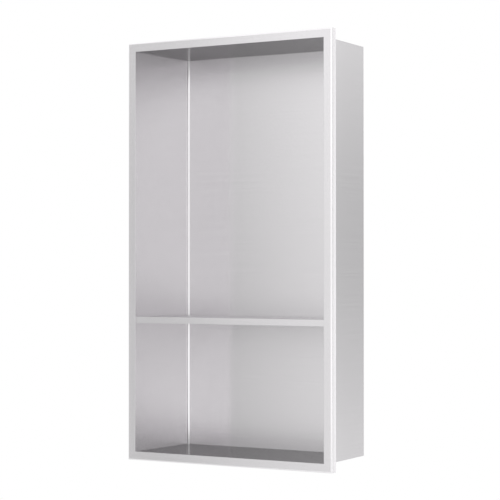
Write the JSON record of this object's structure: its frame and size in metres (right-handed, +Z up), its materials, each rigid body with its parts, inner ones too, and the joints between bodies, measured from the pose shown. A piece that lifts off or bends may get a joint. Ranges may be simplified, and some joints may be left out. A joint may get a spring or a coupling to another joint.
{
  "type": "shower niche insert",
  "caption": "Tall recessed stainless steel shower niche with a narrow mitred flange frame, folded walls and a fixed full-width shelf below the middle.",
  "frame": {"origin": "centre of the opening, in the plane where the rim's edge sits on the finished wall", "axes": "+Y into the wall, the opening faces -Y, +Z up, +X to the right for someone who looks into the niche"},
  "size_m": [0.294, 0.1165, 0.53],
  "materials": {
    "brushed_stainless": "satin brushed stainless steel sheet, grain along each face"
  },
  "bodies": {
    "root": {"niche_body": "brushed_stainless", "shelf": "brushed_stainless"}
  },
  "joints": []
}
